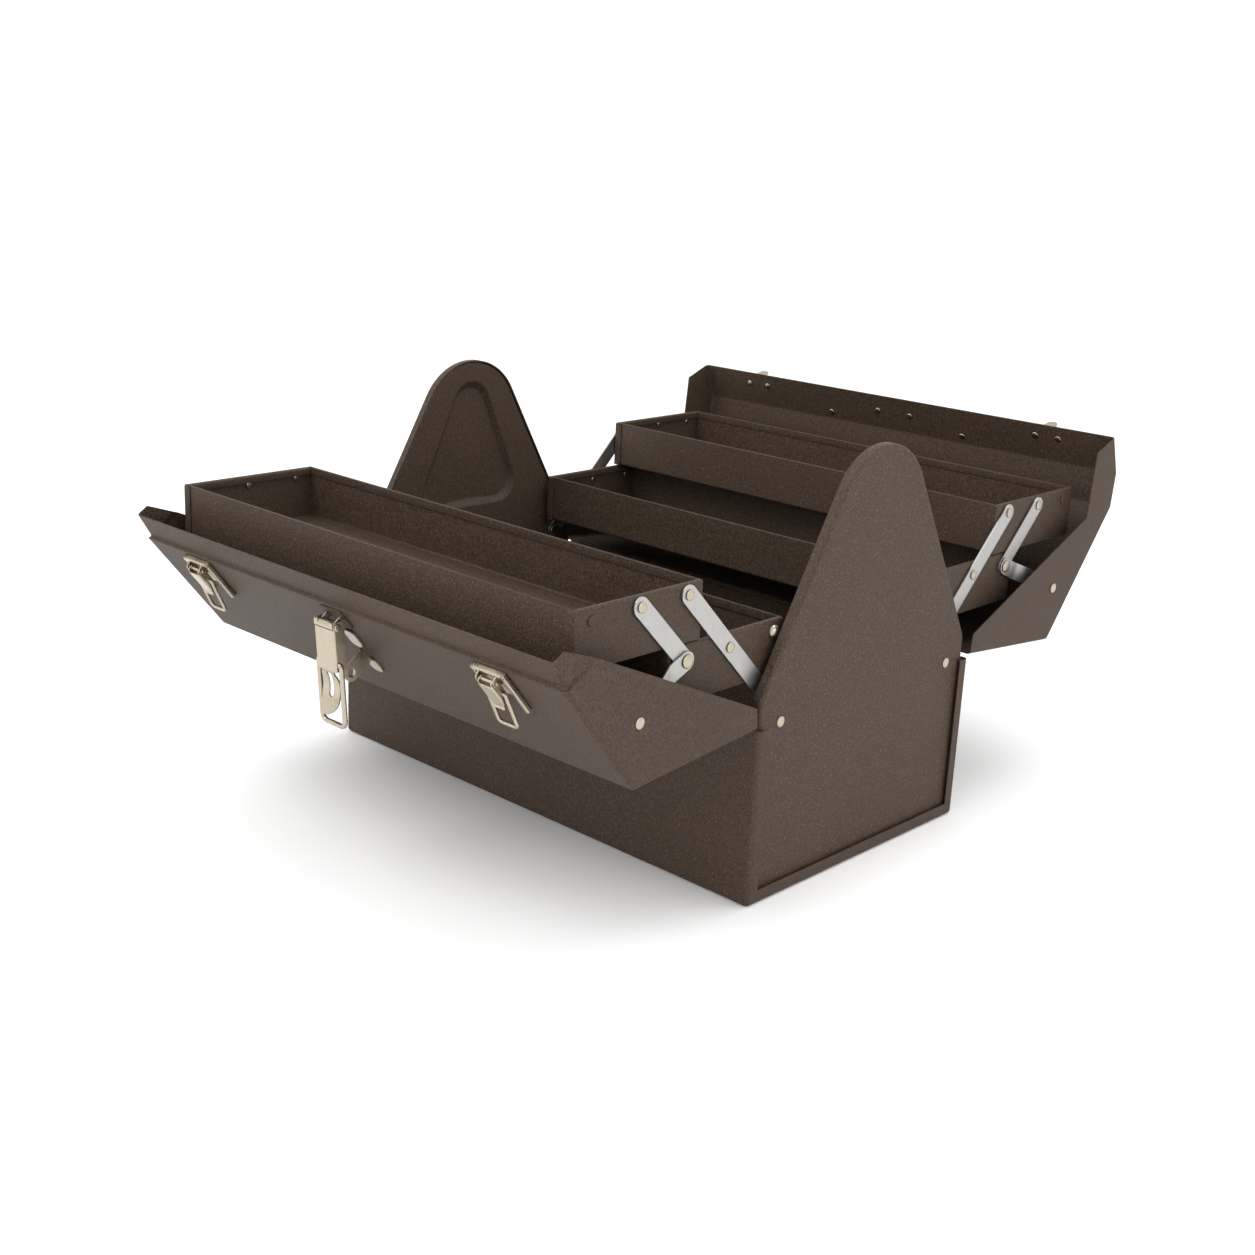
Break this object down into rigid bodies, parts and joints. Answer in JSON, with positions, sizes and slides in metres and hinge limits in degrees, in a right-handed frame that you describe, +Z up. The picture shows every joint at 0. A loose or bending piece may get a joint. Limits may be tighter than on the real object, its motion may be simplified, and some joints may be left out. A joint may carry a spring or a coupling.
{
  "type": "cantilever toolbox",
  "caption": "Steel cantilever toolbox shown open: hinged lids swing out and carry stepped trays on pivoting links, with draw latches, a hasp and a carrying handle.",
  "frame": {"origin": "middle of the base's flat underside, the face it stands on", "axes": "+X along the box towards its right end, -Y towards the front lid with the latches, +Z up"},
  "size_m": [0.5104, 0.7559, 0.352],
  "materials": {
    "paint": "brown wrinkle enamel on sheet steel",
    "zinc": "zinc plated strip steel",
    "nickel": "worn nickel plate"
  },
  "bodies": {
    "base": {"base_shell": "paint", "end_panel_left": "paint", "end_panel_right": "paint", "ear_liner_left": "paint", "ear_liner_right": "paint", "ear_rivets": "nickel", "link_anchor_pins": "nickel", "front_hinge_base_leaf": "paint", "front_hinge_pin": "zinc", "rear_hinge_base_leaf": "paint", "rear_hinge_pin": "zinc"},
    "front_lid": {"front_lid": "paint", "front_hinge_lid_leaf": "paint", "front_lid_link_rivets": "nickel", "latch_base_left": "nickel", "latch_base_right": "nickel", "latch_pins": "nickel", "hasp_bracket": "nickel", "hasp_staple": "nickel"},
    "rear_lid": {"rear_lid": "paint", "rear_hinge_lid_leaf": "paint", "rear_lid_link_rivets": "nickel", "strikes": "nickel", "lock_plate": "nickel", "handle_brackets": "nickel", "rear_lid_rivets": "nickel"},
    "front_long_links": {"front_long_links": "zinc"},
    "front_lower_tray": {"front_lower_tray_pan": "paint", "front_lower_tray_end_left": "paint", "front_lower_tray_end_right": "paint", "front_lower_tray_rivets": "nickel"},
    "front_upper_tray": {"front_upper_tray_pan": "paint", "front_upper_tray_end_left": "paint", "front_upper_tray_end_right": "paint", "front_upper_tray_rivets": "nickel"},
    "front_short_links": {"front_short_links": "zinc"},
    "front_lid_links": {"front_lid_links": "zinc"},
    "rear_long_links": {"rear_long_links": "zinc"},
    "rear_lower_tray": {"rear_lower_tray_pan": "paint", "rear_lower_tray_end_left": "paint", "rear_lower_tray_end_right": "paint", "rear_lower_tray_rivets": "nickel"},
    "rear_upper_tray": {"rear_upper_tray_pan": "paint", "rear_upper_tray_end_left": "paint", "rear_upper_tray_end_right": "paint", "rear_upper_tray_rivets": "nickel"},
    "rear_short_links": {"rear_short_links": "zinc"},
    "rear_lid_links": {"rear_lid_links": "zinc"},
    "latch_lever_left": {"latch_lever_left": "nickel"},
    "latch_bail_left": {"latch_bail_left": "nickel"},
    "latch_lever_right": {"latch_lever_right": "nickel"},
    "latch_bail_right": {"latch_bail_right": "nickel"},
    "hasp_lever": {"hasp_lever": "nickel"},
    "hasp_bail": {"hasp_bail": "nickel"},
    "handle": {"handle": "nickel"}
  },
  "joints": [
    {"name": "front_lid_hinge", "type": "hinge", "parent": "base", "child": "front_lid", "pos_m": [0, -0.144, 0.1495], "axis": [-1, 0, 0], "range_deg": [0, 95.5]},
    {"name": "rear_lid_hinge", "type": "hinge", "parent": "base", "child": "rear_lid", "pos_m": [0, 0.144, 0.1495], "axis": [1, 0, 0], "range_deg": [0, 95.5]},
    {"name": "front_long_link_swing", "type": "hinge", "parent": "base", "child": "front_long_links", "pos_m": [0, -0.1162, 0.166], "axis": [-1, 0, 0], "range_deg": [0, 90.1]},
    {"name": "front_lower_tray_level", "type": "hinge", "parent": "front_long_links", "child": "front_lower_tray", "pos_m": [0, -0.16534, 0.21514], "axis": [1, 0, 0], "range_deg": [0, 90.1]},
    {"name": "front_upper_tray_level", "type": "hinge", "parent": "front_long_links", "child": "front_upper_tray", "pos_m": [0, -0.21449, 0.26429], "axis": [1, 0, 0], "range_deg": [0, 90.1]},
    {"name": "front_short_link_swing", "type": "hinge", "parent": "front_lower_tray", "child": "front_short_links", "pos_m": [0, -0.21534, 0.21514], "axis": [-1, 0, 0], "range_deg": [0, 90.1]},
    {"name": "front_lid_link_swing", "type": "hinge", "parent": "front_lower_tray", "child": "front_lid_links", "pos_m": [0, -0.21534, 0.21514], "axis": [-1, 0, 0], "range_deg": [0, 133.7]},
    {"name": "rear_long_link_swing", "type": "hinge", "parent": "base", "child": "rear_long_links", "pos_m": [0, 0.1162, 0.166], "axis": [1, 0, 0], "range_deg": [0, 90.1]},
    {"name": "rear_lower_tray_level", "type": "hinge", "parent": "rear_long_links", "child": "rear_lower_tray", "pos_m": [0, 0.16534, 0.21514], "axis": [-1, 0, 0], "range_deg": [0, 90.1]},
    {"name": "rear_upper_tray_level", "type": "hinge", "parent": "rear_long_links", "child": "rear_upper_tray", "pos_m": [0, 0.21449, 0.26429], "axis": [-1, 0, 0], "range_deg": [0, 90.1]},
    {"name": "rear_short_link_swing", "type": "hinge", "parent": "rear_lower_tray", "child": "rear_short_links", "pos_m": [0, 0.21534, 0.21514], "axis": [1, 0, 0], "range_deg": [0, 90.1]},
    {"name": "rear_lid_link_swing", "type": "hinge", "parent": "rear_lower_tray", "child": "rear_lid_links", "pos_m": [0, 0.21534, 0.21514], "axis": [1, 0, 0], "range_deg": [0, 133.7]},
    {"name": "latch_lever_left_swing", "type": "hinge", "parent": "front_lid", "child": "latch_lever_left", "pos_m": [-0.179, -0.35383, 0.21463], "axis": [-1, 0, 0], "range_deg": [0, 110]},
    {"name": "latch_bail_left_swing", "type": "hinge", "parent": "latch_lever_left", "child": "latch_bail_left", "pos_m": [-0.179, -0.34627, 0.20531], "axis": [-1, 0, 0], "range_deg": [-12, 75]},
    {"name": "latch_lever_right_swing", "type": "hinge", "parent": "front_lid", "child": "latch_lever_right", "pos_m": [0.179, -0.35383, 0.21463], "axis": [-1, 0, 0], "range_deg": [0, 110]},
    {"name": "latch_bail_right_swing", "type": "hinge", "parent": "latch_lever_right", "child": "latch_bail_right", "pos_m": [0.179, -0.34627, 0.20531], "axis": [-1, 0, 0], "range_deg": [-12, 75]},
    {"name": "hasp_lever_swing", "type": "hinge", "parent": "front_lid", "child": "hasp_lever", "pos_m": [0, -0.35506, 0.21107], "axis": [-1, 0, 0], "range_deg": [-36, 55]},
    {"name": "hasp_bail_swing", "type": "hinge", "parent": "hasp_lever", "child": "hasp_bail", "pos_m": [0, -0.3532, 0.18112], "axis": [-1, 0, 0], "range_deg": [0, 100]},
    {"name": "handle_swing", "type": "hinge", "parent": "rear_lid", "child": "handle", "pos_m": [0, 0.38344, 0.26639], "axis": [1, 0, 0], "range_deg": [-18, 95]}
  ],
  "couplings": [
    {"joint": "front_long_link_swing", "follows": "front_lid_hinge", "ratio": 0.94241},
    {"joint": "front_lower_tray_level", "follows": "front_lid_hinge", "ratio": 0.94241},
    {"joint": "front_upper_tray_level", "follows": "front_lid_hinge", "ratio": 0.94241},
    {"joint": "front_short_link_swing", "follows": "front_lid_hinge", "ratio": 0.94241},
    {"joint": "front_lid_link_swing", "follows": "front_lid_hinge", "ratio": 1.3969},
    {"joint": "rear_long_link_swing", "follows": "rear_lid_hinge", "ratio": 0.94241},
    {"joint": "rear_lower_tray_level", "follows": "rear_lid_hinge", "ratio": 0.94241},
    {"joint": "rear_upper_tray_level", "follows": "rear_lid_hinge", "ratio": 0.94241},
    {"joint": "rear_short_link_swing", "follows": "rear_lid_hinge", "ratio": 0.94241},
    {"joint": "rear_lid_link_swing", "follows": "rear_lid_hinge", "ratio": 1.3969}
  ]
}
